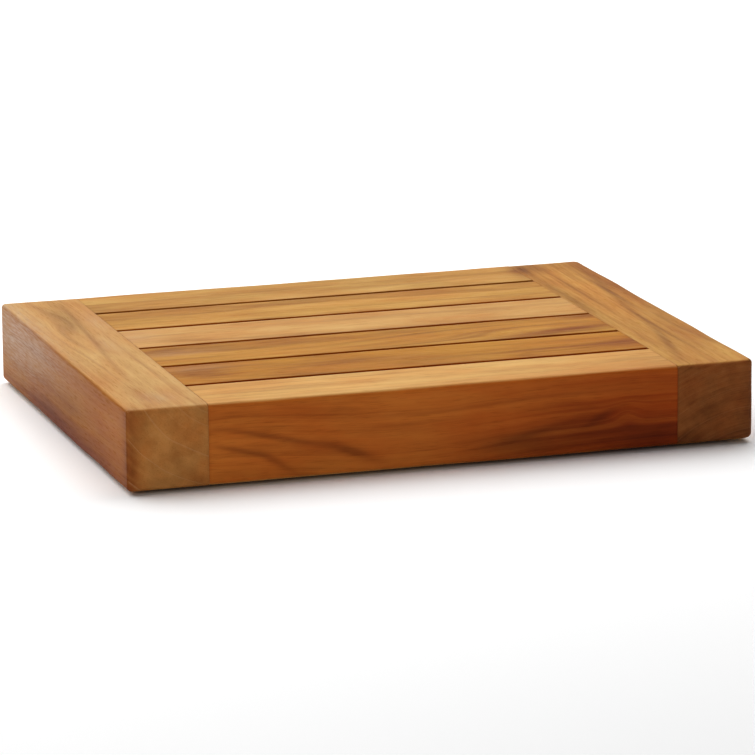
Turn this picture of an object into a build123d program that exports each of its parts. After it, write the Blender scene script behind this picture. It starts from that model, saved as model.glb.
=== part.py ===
from build123d import *
from math import radians, tan
import os

# Slatted teak bath mat, in millimetres.
# X runs left to right along the slats, Y runs front to back, Z is up.
# The origin is the middle of the footprint, on the floor under the rubber feet.
#
# Two end rails run the full depth of the mat and show their end grain at the front and the back.
# Two side rails fit between them on dowels. The deck slats lie flush with the frame, tongued into
# the end rails with a drain gap on each side, and are screwed up from two battens underneath.

# ---- Overall sizes
mat_length = 508.0
mat_depth = 403.0
frame_height = 64.0

# ---- Frame
end_rail_width = 64.0
side_rail_width = 63.0
outer_round = 3.0  # hand-sanded round on the outside edges of the frame
corner_round = 4.0  # upright corners of the frame

# ---- Deck
slat_count = 4
drain_gap = 5.0
slat_thickness = 22.0
slat_ease = 1.2  # eased long edges of slats, and of the side rails along a drain gap

# ---- Tongue on each slat end, in a stopped groove in the end rail
tongue_length = 10.0
tongue_thickness = 8.0
tongue_shoulder = 6.0
tongue_clearance = 0.2
tongue_end_room = 1.0

# ---- Dowels in the frame's corners, one above the other
dowel_diameter = 12.0
dowel_length = 56.0
dowel_spacing = 28.0
dowel_clearance = 0.05
dowel_end_room = 0.5
dowel_chamfer = 1.2
flute_count = 12
flute_radius = 0.5

# ---- Battens under the slats, tenoned into the side rails
batten_width = 45.0
batten_thickness = 24.0
batten_inset = 90.0  # from an end rail's inner face to the middle of the batten
batten_ease = 2.0
batten_tenon_length = 12.0
batten_tenon_thickness = 12.0
batten_shoulder = 6.0
tenon_clearance = 0.15
tenon_end_room = 1.0

# ---- Countersunk wood screws, two through a batten into each slat
screw_diameter = 4.0
screw_length = 36.0
screw_head_diameter = 8.0
screw_head_angle = 90.0
screw_spacing = 36.0
screw_sink = 0.5  # how far the head sits below the batten's face
screw_clearance = 0.3  # in the batten
screw_head_clearance = 0.1
pilot_clearance = 0.05  # in the slat or the end rail
pilot_end_room = 1.0
point_length = 4.0

# ---- Rubber feet, each held by a pan head screw and a washer
foot_diameter = 30.0
foot_tread_diameter = 26.0
foot_height = 6.0
foot_recess = 3.0  # how deep the foot sits in the end rail
foot_inset = 30.0  # from the outer faces of the mat to the foot's middle
foot_seat_clearance = 0.3
foot_tread_ease = 0.8
foot_well_diameter = 14.0
foot_well_depth = 3.8
foot_bore_diameter = 4.4
washer_diameter = 12.0
washer_bore_diameter = 4.3
washer_thickness = 1.0
foot_screw_diameter = 3.5
foot_screw_length = 12.0
foot_screw_head_diameter = 7.5
foot_screw_head_height = 2.2
foot_screw_head_round = 1.1
foot_screw_point = 3.0

# ---- Cross recess in the screw heads
recess_width = 1.0
recess_depth = 1.4
recess_taper = 10.0
recess_share = 0.6  # of the head's diameter

# ---- Places worked out from the sizes above
frame_bottom = foot_height - foot_recess
frame_middle = frame_bottom + frame_height / 2
deck_top = frame_bottom + frame_height
rail_length = mat_length - 2 * end_rail_width
inner_depth = mat_depth - 2 * side_rail_width
end_rail_x = mat_length / 2 - end_rail_width / 2
side_rail_y = mat_depth / 2 - side_rail_width / 2
slat_width = (inner_depth - (slat_count + 1) * drain_gap) / slat_count
slat_bottom = deck_top - slat_thickness
slat_middle = slat_bottom + slat_thickness / 2
slat_ys = [
    inner_depth / 2 - drain_gap - slat_width / 2 - i * (slat_width + drain_gap)
    for i in range(slat_count)
]
batten_bottom = slat_bottom - batten_thickness
batten_middle = slat_bottom - batten_thickness / 2
batten_x = rail_length / 2 - batten_inset
screw_head_bottom = batten_bottom + screw_sink
screw_top = screw_head_bottom + screw_length
screw_ys = [y + step for y in slat_ys for step in (screw_spacing / 2, -screw_spacing / 2)]
washer_bottom = foot_well_depth - washer_thickness
foot_screw_top = washer_bottom + foot_screw_length
foot_x = mat_length / 2 - foot_inset
foot_y = mat_depth / 2 - foot_inset
dowel_zs = [frame_middle + dowel_spacing / 2, frame_middle - dowel_spacing / 2]

left, right, front, back = -1, 1, -1, 1
side_names = {left: "left", right: "right"}
end_names = {front: "front", back: "back"}


def outermost(shapes, axis, side):
    """The edges or faces that lie furthest out along an axis, on the side that is given."""
    return shapes.group_by(axis)[-1 if side > 0 else 0]


def underside(x, y, z):
    """Plane at a point of a piece's lower face, looking down."""
    return Plane(origin=(x, y, z), x_dir=(1, 0, 0), z_dir=(0, 0, -1))


def upright_section(x, y):
    """Plane through an upright axis, in which a revolved piece's half section is drawn."""
    return Plane(origin=(x, y, 0), x_dir=(1, 0, 0), z_dir=(0, -1, 0))


def cut_dowel_holes(face_x, side_rail_ys, depth, into):
    """Cuts the corner dowels' holes into a piece from its joint face at face_x.

    into is 1 where the hole runs towards +X and -1 where it runs towards -X.
    """
    joint_plane = Plane(origin=(face_x, 0, 0), x_dir=(0, 1, 0), z_dir=(into, 0, 0))
    with BuildSketch(joint_plane) as holes:
        for y in side_rail_ys:
            for z in dowel_zs:
                with Locations(joint_plane.to_local_coords(Vector(face_x, y, z))):
                    Circle(dowel_diameter / 2 + dowel_clearance)
    extrude(holes.sketch, amount=depth, mode=Mode.SUBTRACT)


def make_end_rail(side):
    """Full-depth rail at the left or right end."""
    inner_x = side * rail_length / 2
    groove_depth = tongue_length + tongue_end_room
    groove_length = inner_depth - 2 * (drain_gap + tongue_shoulder - tongue_clearance)
    with BuildPart() as rail:
        with BuildSketch(Plane.XY.offset(frame_bottom)):
            with Locations((side * end_rail_x, 0)):
                Rectangle(end_rail_width, mat_depth)
        extrude(amount=frame_height)

        # Rounded outside, square along the inner edge where the slats and side rails butt on it.
        upright_edges = rail.edges().filter_by(Axis.Z)
        fillet(outermost(upright_edges, Axis.X, side), radius=corner_round)
        for face in rail.faces().filter_by(Plane.XY):
            rounded = face.edges() - outermost(face.edges(), Axis.X, -side)
            fillet(rounded, radius=outer_round)

        # Stopped groove for the slats' tongues.
        with BuildSketch(Plane.XY.offset(slat_middle)):
            with Locations((inner_x + side * groove_depth / 2, 0)):
                Rectangle(groove_depth, groove_length)
        extrude(
            amount=tongue_thickness / 2 + tongue_clearance, both=True, mode=Mode.SUBTRACT
        )

        dowel_hole_depth = dowel_length / 2 + dowel_end_room
        cut_dowel_holes(inner_x, (side_rail_y, -side_rail_y), dowel_hole_depth, side)

        # Seats and pilot holes for the two feet, from below.
        pilot_depth = foot_screw_top + pilot_end_room - frame_bottom
        with Locations(underside(side * foot_x, 0, frame_bottom)):
            with Locations((0, foot_y), (0, -foot_y)):
                CounterBoreHole(
                    radius=foot_screw_diameter / 2 + pilot_clearance,
                    counter_bore_radius=foot_diameter / 2 + foot_seat_clearance,
                    counter_bore_depth=foot_recess,
                    depth=pilot_depth,
                )
    rail.part.label = f"end_rail_{side_names[side]}"
    return rail.part


def make_side_rail(end):
    """Rail between the end rails at the front or the back."""
    inner_y = end * inner_depth / 2
    mortise_depth = batten_tenon_length + tenon_end_room
    mortise_width = batten_width - 2 * batten_shoulder + 2 * tenon_clearance
    with BuildPart() as rail:
        with BuildSketch(Plane.XY.offset(frame_bottom)):
            with Locations((0, end * side_rail_y)):
                Rectangle(rail_length, side_rail_width)
        extrude(amount=frame_height)

        long_edges = rail.edges().filter_by(Axis.X)
        fillet(outermost(long_edges, Axis.Y, end), radius=outer_round)
        gap_edges = outermost(rail.edges().filter_by(Axis.X), Axis.Y, -end)
        fillet(gap_edges, radius=slat_ease)

        # Mortises for the battens' tenons.
        with BuildSketch(Plane.XY.offset(batten_middle)):
            with Locations(
                (batten_x, inner_y + end * mortise_depth / 2),
                (-batten_x, inner_y + end * mortise_depth / 2),
            ):
                Rectangle(mortise_width, mortise_depth)
        extrude(
            amount=batten_tenon_thickness / 2 + tenon_clearance,
            both=True,
            mode=Mode.SUBTRACT,
        )

        dowel_hole_depth = dowel_length / 2 + dowel_end_room
        for side in (left, right):
            cut_dowel_holes(
                side * rail_length / 2, (end * side_rail_y,), dowel_hole_depth, -side
            )
    rail.part.label = f"{end_names[end]}_rail"
    return rail.part


def make_slat(number, y):
    """Deck slat with a tongue on each end, its top flush with the frame."""
    with BuildPart() as slat:
        with BuildSketch(Plane.XY.offset(slat_bottom)):
            with Locations((0, y)):
                Rectangle(rail_length, slat_width)
        extrude(amount=slat_thickness)
        fillet(slat.edges().filter_by(Axis.X), radius=slat_ease)

        with BuildSketch(Plane.XY.offset(slat_middle)):
            with Locations((0, y)):
                Rectangle(
                    rail_length + 2 * tongue_length, slat_width - 2 * tongue_shoulder
                )
        extrude(amount=tongue_thickness / 2, both=True)

        # Pilot holes for the batten screws, from below.
        with Locations(underside(0, y, slat_bottom)):
            with GridLocations(2 * batten_x, screw_spacing, 2, 2):
                Hole(
                    radius=screw_diameter / 2 + pilot_clearance,
                    depth=screw_top + pilot_end_room - slat_bottom,
                )
    slat.part.label = f"slat_{number}"
    return slat.part


def make_batten(side):
    """Batten under the slats, from the front rail to the back rail."""
    with BuildPart() as batten:
        with BuildSketch(Plane.XY.offset(batten_bottom)):
            with Locations((side * batten_x, 0)):
                Rectangle(batten_width, inner_depth)
        extrude(amount=batten_thickness)
        lower_edges = batten.edges().filter_by(Axis.Y).group_by(Axis.Z)[0]
        fillet(lower_edges, radius=batten_ease)

        with BuildSketch(Plane.XY.offset(batten_middle)):
            with Locations((side * batten_x, 0)):
                Rectangle(
                    batten_width - 2 * batten_shoulder,
                    inner_depth + 2 * batten_tenon_length,
                )
        extrude(amount=batten_tenon_thickness / 2, both=True)

        sink_radius = screw_head_diameter / 2 + screw_head_clearance + screw_sink
        with Locations(*[underside(side * batten_x, y, batten_bottom) for y in screw_ys]):
            CounterSinkHole(
                radius=screw_diameter / 2 + screw_clearance,
                counter_sink_radius=sink_radius,
                counter_sink_angle=screw_head_angle,
            )
    batten.part.label = f"batten_{side_names[side]}"
    return batten.part


def cut_cross_recess(head_diameter, head_face):
    """Cuts the cross recess upwards into a screw head, from the middle of its lower face."""
    with BuildSketch(Plane(origin=head_face)) as cross:
        Rectangle(head_diameter * recess_share, recess_width)
        Rectangle(recess_width, head_diameter * recess_share)
    extrude(cross.sketch, amount=recess_depth, taper=recess_taper, mode=Mode.SUBTRACT)


def make_batten_screw():
    """Countersunk screw that points up, standing on the middle of its head at the origin."""
    head_radius = screw_head_diameter / 2
    shank_radius = screw_diameter / 2
    head_height = (head_radius - shank_radius) / tan(radians(screw_head_angle / 2))
    with BuildPart() as screw:
        with BuildSketch(upright_section(0, 0)):
            with BuildLine():
                Polyline(
                    (0, 0),
                    (head_radius, 0),
                    (shank_radius, head_height),
                    (shank_radius, screw_length - point_length),
                    (0, screw_length),
                    close=True,
                )
            make_face()
        revolve(axis=Axis.Z)
        cut_cross_recess(screw_head_diameter, (0, 0, 0))
    return screw.part


def make_batten_screws(side, screw):
    """The screws of one batten, as separate solids."""
    with BuildPart() as screws:
        with Locations(*[(side * batten_x, y, screw_head_bottom) for y in screw_ys]):
            add(screw)
    screws.part.label = f"batten_screws_{side_names[side]}"
    return screws.part


def make_dowel(side, end, z, level):
    """Fluted dowel across the joint of an end rail and a side rail."""
    joint = Plane(origin=(side * rail_length / 2, end * side_rail_y, z), z_dir=(1, 0, 0))
    with BuildPart() as dowel:
        with BuildSketch(joint):
            Circle(dowel_diameter / 2)
            with PolarLocations(dowel_diameter / 2, flute_count):
                Circle(flute_radius, mode=Mode.SUBTRACT)
        extrude(amount=dowel_length / 2, both=True)
        ends = dowel.faces().filter_by(Axis.X)
        chamfer(ends.edges().filter_by(GeomType.CIRCLE), length=dowel_chamfer)
    dowel.part.label = f"dowel_{end_names[end]}_{side_names[side]}_{level}"
    return dowel.part


def make_foot(side, end):
    """Round rubber foot, with a well for its screw's head."""
    x, y = side * foot_x, end * foot_y
    base_radius = foot_diameter / 2
    tread_radius = foot_tread_diameter / 2
    with BuildPart() as foot:
        with BuildSketch(upright_section(x, y)):
            with BuildLine():
                Polyline(
                    (foot_bore_diameter / 2, foot_height),
                    (foot_bore_diameter / 2, foot_well_depth),
                    (foot_well_diameter / 2, foot_well_depth),
                    (foot_well_diameter / 2, 0),
                    (tread_radius, 0),
                    (base_radius, foot_height - foot_recess),
                    (base_radius, foot_height),
                    close=True,
                )
            make_face()
        revolve(axis=Axis((x, y, 0), (0, 0, 1)))
        tread = foot.faces().sort_by(Axis.Z)[0]
        fillet(tread.edges(), radius=foot_tread_ease)
    foot.part.label = f"foot_{end_names[end]}_{side_names[side]}"
    return foot.part


def make_washer(side, end):
    """Steel washer in the foot's well."""
    with BuildPart() as washer:
        with BuildSketch(Plane.XY.offset(washer_bottom)):
            with Locations((side * foot_x, end * foot_y)):
                Circle(washer_diameter / 2)
                Circle(washer_bore_diameter / 2, mode=Mode.SUBTRACT)
        extrude(amount=washer_thickness)
    washer.part.label = f"washer_{end_names[end]}_{side_names[side]}"
    return washer.part


def make_foot_screw(side, end):
    """Pan head screw that points up through the foot into the end rail."""
    x, y = side * foot_x, end * foot_y
    head_radius = foot_screw_head_diameter / 2
    shank_radius = foot_screw_diameter / 2
    head_bottom = washer_bottom - foot_screw_head_height
    with BuildPart() as screw:
        with BuildSketch(upright_section(x, y)):
            with BuildLine():
                Polyline(
                    (0, head_bottom),
                    (head_radius, head_bottom),
                    (head_radius, washer_bottom),
                    (shank_radius, washer_bottom),
                    (shank_radius, foot_screw_top - foot_screw_point),
                    (0, foot_screw_top),
                    close=True,
                )
            make_face()
        revolve(axis=Axis((x, y, 0), (0, 0, 1)))
        rim = screw.faces().sort_by(Axis.Z)[0].edges()
        fillet(rim, radius=foot_screw_head_round)
        cut_cross_recess(foot_screw_head_diameter, (x, y, head_bottom))
    screw.part.label = f"foot_screw_{end_names[end]}_{side_names[side]}"
    return screw.part


pieces = [make_end_rail(side) for side in (left, right)]
pieces += [make_side_rail(end) for end in (front, back)]
pieces += [make_slat(i + 1, y) for i, y in enumerate(slat_ys)]
pieces += [make_batten(side) for side in (left, right)]
batten_screw = make_batten_screw()
pieces += [make_batten_screws(side, batten_screw) for side in (left, right)]
for side in (left, right):
    for end in (front, back):
        for z, level in zip(dowel_zs, ("upper", "lower")):
            pieces.append(make_dowel(side, end, z, level))
        pieces.append(make_foot(side, end))
        pieces.append(make_washer(side, end))
        pieces.append(make_foot_screw(side, end))

os.makedirs("parts", exist_ok=True)
for piece in pieces:
    export_step(piece, f"parts/{piece.label}.step")
    print(piece.label, round(piece.volume))
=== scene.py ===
import bpy
import math
import numpy as np
from mathutils import Matrix, Vector


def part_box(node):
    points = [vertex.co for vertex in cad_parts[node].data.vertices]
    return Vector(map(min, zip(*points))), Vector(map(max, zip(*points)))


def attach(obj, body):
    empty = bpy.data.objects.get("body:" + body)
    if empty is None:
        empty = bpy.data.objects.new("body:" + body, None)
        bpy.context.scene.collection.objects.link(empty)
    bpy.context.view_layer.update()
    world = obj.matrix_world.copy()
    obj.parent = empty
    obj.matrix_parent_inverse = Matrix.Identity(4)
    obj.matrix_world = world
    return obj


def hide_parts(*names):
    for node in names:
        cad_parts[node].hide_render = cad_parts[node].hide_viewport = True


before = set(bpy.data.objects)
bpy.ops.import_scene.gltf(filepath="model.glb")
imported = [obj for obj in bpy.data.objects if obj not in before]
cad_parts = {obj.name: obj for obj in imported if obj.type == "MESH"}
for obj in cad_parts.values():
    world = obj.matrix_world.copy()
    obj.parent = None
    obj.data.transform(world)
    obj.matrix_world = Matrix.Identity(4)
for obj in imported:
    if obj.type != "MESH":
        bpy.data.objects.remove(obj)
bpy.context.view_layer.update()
mm = 0.001
print("frame loaded:", len(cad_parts), "nodes")


# The camera stands in front of the mat, to the left of its middle, and looks down at it through a long lens.
camera = {
    "place": (-1.177, -3.726, 0.9425),  # metres
    "turn": 17.65,  # degrees to the right of straight ahead
    "tilt": 13.17,  # degrees down
    "roll": -0.5,
    "lens": 237.2,  # millimetres, on the sensor below
    "sensor": 36.0,
    "farthest": 50.0,  # metres it sees
}


def makeCamera():
    turn, tilt, roll = (math.radians(camera[key]) for key in ("turn", "tilt", "roll"))
    level = Vector((math.sin(turn), math.cos(turn), 0))
    ahead = level * math.cos(tilt) - Vector((0, 0, math.sin(tilt)))
    right = Vector((math.cos(turn), -math.sin(turn), 0))
    axes = Matrix((right, right.cross(ahead), -ahead)).transposed().to_4x4()
    data = bpy.data.cameras.new("studioCamera")
    data.lens, data.sensor_width = camera["lens"], camera["sensor"]
    data.clip_end = camera["farthest"]
    made = bpy.data.objects.new("studioCamera", data)
    made.matrix_world = Matrix.Translation(camera["place"]) @ axes @ Matrix.Rotation(roll, 4, "Z")
    bpy.context.scene.collection.objects.link(made)
    bpy.context.scene.camera = made


makeCamera()
bpy.context.view_layer.update()


def toLinear(hexColour):
    # sRGB hex to the linear values that shaders use
    parts = [int(hexColour[i : i + 2], 16) / 255 for i in (1, 3, 5)]
    return tuple(c / 12.92 if c <= 0.04045 else ((c + 0.055) / 1.055) ** 2.4 for c in parts) + (1,)


def addNode(tree, kind, inputs=(), **settings):
    # a shader node with its settings; each input is a value, or the node or socket that feeds it
    node = tree.nodes.new("ShaderNode" + kind)
    for key, value in settings.items():
        setattr(node, key, value)
    for key, value in inputs.items() if isinstance(inputs, dict) else enumerate(inputs):
        if isinstance(value, bpy.types.Node):
            value = value.outputs[0]
        if isinstance(value, bpy.types.NodeSocket):
            tree.links.new(value, node.inputs[key])
        else:
            node.inputs[key].default_value = value
    return node


def between(value, span, to=(0.0, 1.0)):
    # inputs that bring a value from one range to another
    return {"Value": value, "From Min": span[0], "From Max": span[1], "To Min": to[0], "To Max": to[1]}


def setStops(ramp, stops):
    # a colour ramp's stops, each (position, colour)
    elements = ramp.color_ramp.elements
    while len(elements) < len(stops):
        elements.new(0.5)
    for element, (position, colour) in zip(elements, stops):
        element.position = position
        element.color = colour


def layTints(tree, colour, tints):
    # tints a colour, one after another: (where, strength, tint), with "MIX" where a tint covers it
    for where, strength, tint, *cover in tints:
        amount = where
        if strength != 1.0:
            amount = addNode(tree, "Math", [where, strength], operation="MULTIPLY")
        inputs = {"Factor": amount, "A": colour, "B": toLinear(tint)}
        blend = cover[0] if cover else "MULTIPLY"
        colour = addNode(tree, "Mix", inputs, data_type="RGBA", blend_type=blend).outputs["Result"]
    return colour


def startMaterial(name):
    # an empty material, its tree and the place of each point of the piece in metres
    material = bpy.data.materials.new(name)
    material.use_nodes = True
    tree = material.node_tree
    tree.nodes.clear()
    place = addNode(tree, "TexCoord").outputs["Object"]
    return material, tree, place


def endMaterial(tree, colour, roughness, height, finish):
    # the shader, with bumps as high as the finish says
    relief, strength = finish["relief"]
    bump = addNode(tree, "Bump", {"Height": height, "Strength": strength, "Distance": relief * mm})
    inputs = {"Base Color": colour, "Roughness": roughness, "Normal": bump, **finish["sockets"]}
    shader = addNode(tree, "BsdfPrincipled", inputs)
    addNode(tree, "OutputMaterial", {"Surface": shader})


# Teak boards. Lengths are in millimetres: along the grain, across it and up, from the board's middle.
# grain: the axis that the grain runs along. outside: its faces on the outside of the mat.
# pith: the log's middle, seen from the board's middle, across and up.
# lean: how far the pith drifts across and up per millimetre along, which draws the rings out to flames.
# ringWidth: a year's growth. tones: pale, middle and dark wood.
# figure: how strong its grain pattern is, where not 1.
# swirls: places where the grain bulges: (middle, reach, lift).
# stainsAndShade: darker or redder heartwood, and in some places painted shade: (middle, reach, strength,
# tint), and where one lies across the grain, its slopes in degrees, rising and across.
# dustAndSheen: dry, dusty places and a painted sheen, pale grey in short dashes: (middle, reach, strength).
# darkLines: dark streaks that follow the grain: (middle, half length, half thickness, strength).
# corner, wander, endCalm, sideShadeTint and endTint stand for those of all boards, below. sideShadeTint is a
# painted shade, darker and redder, on upright faces.
boards = {
    "end_rail_left": {
        "grain": "Y",
        "outside": ("along-", "along+", "across+"),
        "corner": 3.6,
        "pith": (-52, 75),
        "lean": (0.03, 0.0),
        "figure": 0.6,
        "ringWidth": 9.5,
        "tones": ("#d5b178", "#c1985e", "#a06a31"),
        "sideShadeTint": "#d2ad4e",
        "endTint": "#ffe7d2",
        "swirls": (((120, -6, 32), (80, 15, 40), 10), ((60, 14, 32), (60, 12, 30), -6)),
        "stainsAndShade": (
            ((135, -4, 34), (52, 11, 12), 0.42, "#a08a60"),
            ((60, -6, 34), (130, 2.4, 12), 0.45, "#b08a5c", (0, -3.6)),
            ((-205, 31, 0), (14, 8, 60), 0.55, "#8c5a48"),
            # the next three, on the outer side: painted shade, warmer and darker towards the front, the
            # middle and the bottom, where less light and reflection reach
            ((-190, 34, 0), (120, 12, 60), 0.5, "#ffdcaa"),
            ((10, 34, -14), (110, 12, 34), 0.35, "#b8946c"),
            ((-20, 34, -30), (200, 12, 13), 0.9, "#c48a58"),
        ),
        "dustAndSheen": (
            # on the outer side, towards the back: dust and a painted sheen
            ((160, 34, 14), (110, 16, 26), 0.68),
            ((60, 34, 20), (110, 10, 16), 0.3),
            ((105, -24, 34), (40, 9, 10), 0.25),
            ((22, -12, 34), (36, 10, 10), 0.22),
            ((-168, -2, 34), (18, 14, 10), 0.25),
        ),
        "darkLines": (
            ((90, 2, 32), 90, 1.2, 0.35),
            ((-20, 14, 32), 100, 1.0, 0.2),
            ((-60, -20, 32), 60, 1.0, 0.2),
        ),
    },
    "end_rail_right": {
        "grain": "Y",
        "outside": ("along-", "along+", "across-"),
        "corner": 6.5,
        "pith": (-45, -110),
        "lean": (-0.05, 0.012),
        "wander": 0.9,
        "endCalm": 0.1,
        "ringWidth": 3.0,
        "tones": ("#d2a85c", "#ba8943", "#8d5d28"),
        "sideShadeTint": "#dcb68a",
        # its end grain is darker, partly its own colour, partly painted shade where the light falls off to
        # the right
        "endTint": "#d1b1b8",
        "stainsAndShade": (
            ((140, -28, 34), (150, 11, 14), 0.8, "#b98a70"),
            ((190, 6, 34), (26, 22, 14), 0.4, "#a88468"),
            ((70, 27, 34), (110, 6, 14), 0.5, "#a8946c"),
            ((60, -12, 34), (130, 4, 14), 0.55, "#a07c58", (0, -5.5)),
            ((-110, 8, 34), (46, 4, 14), 0.5, "#a07c58", (0, -9)),
            ((180, 28, 34), (18, 8, 14), 0.7, "#a87a68"),
            ((-110, -10, 34), (60, 6, 14), 0.35, "#b08c6c"),
            # the next three darken the front end, most at the bottom and the right edge: partly the wood,
            # partly painted shade where the light falls off to the right
            ((-206, -34, -4), (12, 12, 40), 0.6, "#988074"),
            ((-206, 0, -34), (12, 60, 12), 0.6, "#988074"),
            ((-206, 6, -2), (12, 16, 12), 0.4, "#9c8c70"),
        ),
        "darkLines": (
            ((80, -14, 32), 110, 0.5, 0.4),
            ((-70, -4, 32), 90, 0.5, 0.45),
            ((110, 10, 32), 100, 0.5, 0.3),
            ((-90, -22, 32), 70, 0.5, 0.3),
        ),
    },
    "front_rail": {
        "grain": "X",
        "outside": ("across-",),
        "pith": (40, 90),
        "lean": (0.0, 0.0),
        "figure": 0.8,
        "ringWidth": 8.0,
        "tones": ("#e4bc78", "#d3a865", "#a16e33"),
        # painted shade on its front face: darker and redder
        "sideShadeTint": "#ecb37b",
        "swirls": (((-38, -32, -18), (100, 50, 36), -9), ((148, -32, -2), (11, 20, 9), 5)),
        "stainsAndShade": (
            # the next two darken the front face towards its right end and lower corner: partly the wood's own
            # smudges, partly painted shade where the light falls off to the right
            ((185, -32, -10), (160, 20, 60), 1.0, "#d6a870"),
            ((186, -32, -32), (60, 20, 14), 0.4, "#b88868"),
            # the next two darken the top towards both ends, so that its middle is the brightest
            ((-190, 0, 34), (80, 60, 12), 0.45, "#e6d4bc"),
            ((196, 4, 34), (60, 60, 12), 0.5, "#e2cdb0"),
            ((62, -32, -19), (40, 20, 9), 0.6, "#9c8880"),
            ((116, -32, -12), (34, 20, 14), 0.45, "#9c8880"),
            ((165, -32, -16), (34, 20, 11), 0.5, "#9c8880"),
            ((-135, -32, 1), (46, 20, 2.4), 0.45, "#8f6a50", (-14, 0)),
            ((-76, -32, -15), (24, 20, 4.0), 0.45, "#8f6a50", (-23, 0)),
            ((-163, -32, -7), (24, 20, 2.2), 0.45, "#8f6a50", (-16, 0)),
            ((-136, -32, -18), (16, 20, 3.0), 0.45, "#8f6a50", (-32, 0)),
            ((68, -32, -13), (30, 20, 3.4), 0.45, "#8a6a5a", (12, 0)),
            ((127, -32, -3), (15, 20, 3.4), 0.4, "#8a6a5a", (25, 0)),
        ),
        "darkLines": (
            ((-20, -32, 12), 80, 1.2, 0.25),
            ((90, -32, 16), 70, 1.2, 0.25),
            ((-120, 6, 32), 60, 1.0, 0.25),
        ),
    },
    "back_rail": {
        "grain": "X",
        "outside": ("across+",),
        "pith": (-30, -80),
        "lean": (0.01, 0.01),
        "ringWidth": 7.0,
        "tones": ("#d0a866", "#ba904c", "#915f27"),
        "sideShadeTint": "#e8c296",
        "stainsAndShade": (((191, 2, 32), (9, 24, 20), 0.7, "#b0805c"),),
        "darkLines": (((-40, 8, 32), 90, 0.8, 0.25), ((80, -10, 32), 80, 0.8, 0.25)),
    },
    "slat_1": {
        "grain": "X",
        "pith": (20, -70),
        "lean": (0.012, 0.0),
        "ringWidth": 6.5,
        "tones": ("#d1a65f", "#bc8e45", "#8f5d23"),
        "darkLines": (((-90, 10, 11), 70, 0.8, 0.2), ((110, -12, 11), 90, 0.9, 0.25)),
    },
    "slat_2": {
        "grain": "X",
        "pith": (-10, -60),
        "lean": (-0.015, 0.01),
        "ringWidth": 7.5,
        "tones": ("#d5ae71", "#c4985a", "#986833"),
        "dustAndSheen": (((-188, 8, 11), (26, 24, 14), 0.25),),
        "darkLines": (((20, 14, 11), 120, 0.8, 0.2),),
    },
    "slat_3": {
        "grain": "X",
        "pith": (26, -50),
        "lean": (0.05, 0.0),
        "ringWidth": 7.0,
        "tones": ("#cc9d49", "#b68332", "#845217"),
        "swirls": (((130, 0, 10), (120, 18, 30), 12),),
        "stainsAndShade": (
            ((150, -17, 11), (62, 8, 20), 0.85, "#b47c58", (0, 11)),
            ((186, 25, 11), (24, 7, 20), 0.5, "#b47c58"),
            ((-20, -14, 11), (60, 14, 20), 0.12, "#b58d70"),
        ),
        "dustAndSheen": (((-168, 6, 11), (34, 12, 14), 0.22),),
        "darkLines": (
            ((120, 4, 11), 70, 1.2, 0.5),
            ((60, -20, 11), 70, 1.0, 0.4),
            ((-110, 8, 11), 60, 1.0, 0.3),
        ),
    },
    "slat_4": {
        "grain": "X",
        "pith": (-20, -55),
        "lean": (-0.04, 0.02),
        "ringWidth": 7.0,
        "tones": ("#cd9944", "#b67f25", "#845013"),
        "stainsAndShade": (
            ((184, -7, 11), (34, 12, 20), 0.75, "#b47c58", (0, 6)),
            ((-168, 4, 11), (26, 18, 20), 0.55, "#b58d70"),
            ((-30, 0, 11), (60, 9, 20), 0.35, "#b58d70"),
        ),
        "dustAndSheen": (((-168, 20, 11), (34, 9, 14), 0.22),),
        "darkLines": (
            ((130, -8, 11), 60, 1.0, 0.45),
            ((-60, 6, 11), 80, 0.9, 0.3),
            ((20, -16, 11), 80, 0.8, 0.3),
        ),
    },
    "batten_left": {
        "grain": "Y",
        "pith": (40, 30),
        "lean": (0.01, 0.01),
        "ringWidth": 6.0,
        "tones": ("#c0945c", "#a97a42", "#7f5026"),
        "sideShadeTint": "#e0b88c",
        "darkLines": (((40, 4, -12), 90, 0.9, 0.3),),
    },
    "batten_right": {
        "grain": "Y",
        "pith": (-30, 44),
        "lean": (-0.01, 0.01),
        "ringWidth": 6.5,
        "tones": ("#b98d56", "#a2723c", "#784a22"),
        "sideShadeTint": "#e0b88c",
        "stainsAndShade": (((-60, 6, -12), (70, 12, 20), 0.5, "#b58d70"),),
        "darkLines": (((-30, -8, -12), 80, 0.9, 0.35),),
    },
}

slats = [name for name in boards if name.startswith("slat")]
battens = [name for name in boards if name.startswith("batten")]

# How all the boards are cut and worked, in millimetres.
milling = {
    "outsideRound": 4.0,  # sanded round on the outside of the frame
    "corner": 4.0,  # and of its upright corners, where a board has none of its own
    "gapEase": 0.8,  # edges along a drain gap
    "jointEase": 0.07,  # edges at a joint
    "battenEase": 2.0,  # lower edges of a batten
    "unevenRound": 0.22,  # how much the hand-sanded rounds vary
    "unevenLength": 90.0,  # and over what length
    "waviness": 0.05,  # how far a sanded face strays from flat
    "wavinessLength": 110.0,
    "wavinessFade": 6,  # power, so that only the faces stray
    "waves": 7,  # that make up an unevenness
    "waveRange": (0.6, 1.5),  # of its length
    "stopsAtEdge": (0, 0.07, 0.3, 0.55, 0.9, 1.4, 2.0, 2.7, 3.5, 4.5, 6.0, 8.5, 12.0),
    "edgeShare": 0.8,  # of a half size, the most that those stops may take
    "step": 4.0,  # mesh spacing on the flat
    "sharpest": 50.0,  # degrees, past which two faces meet at a crisp edge
}

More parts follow.
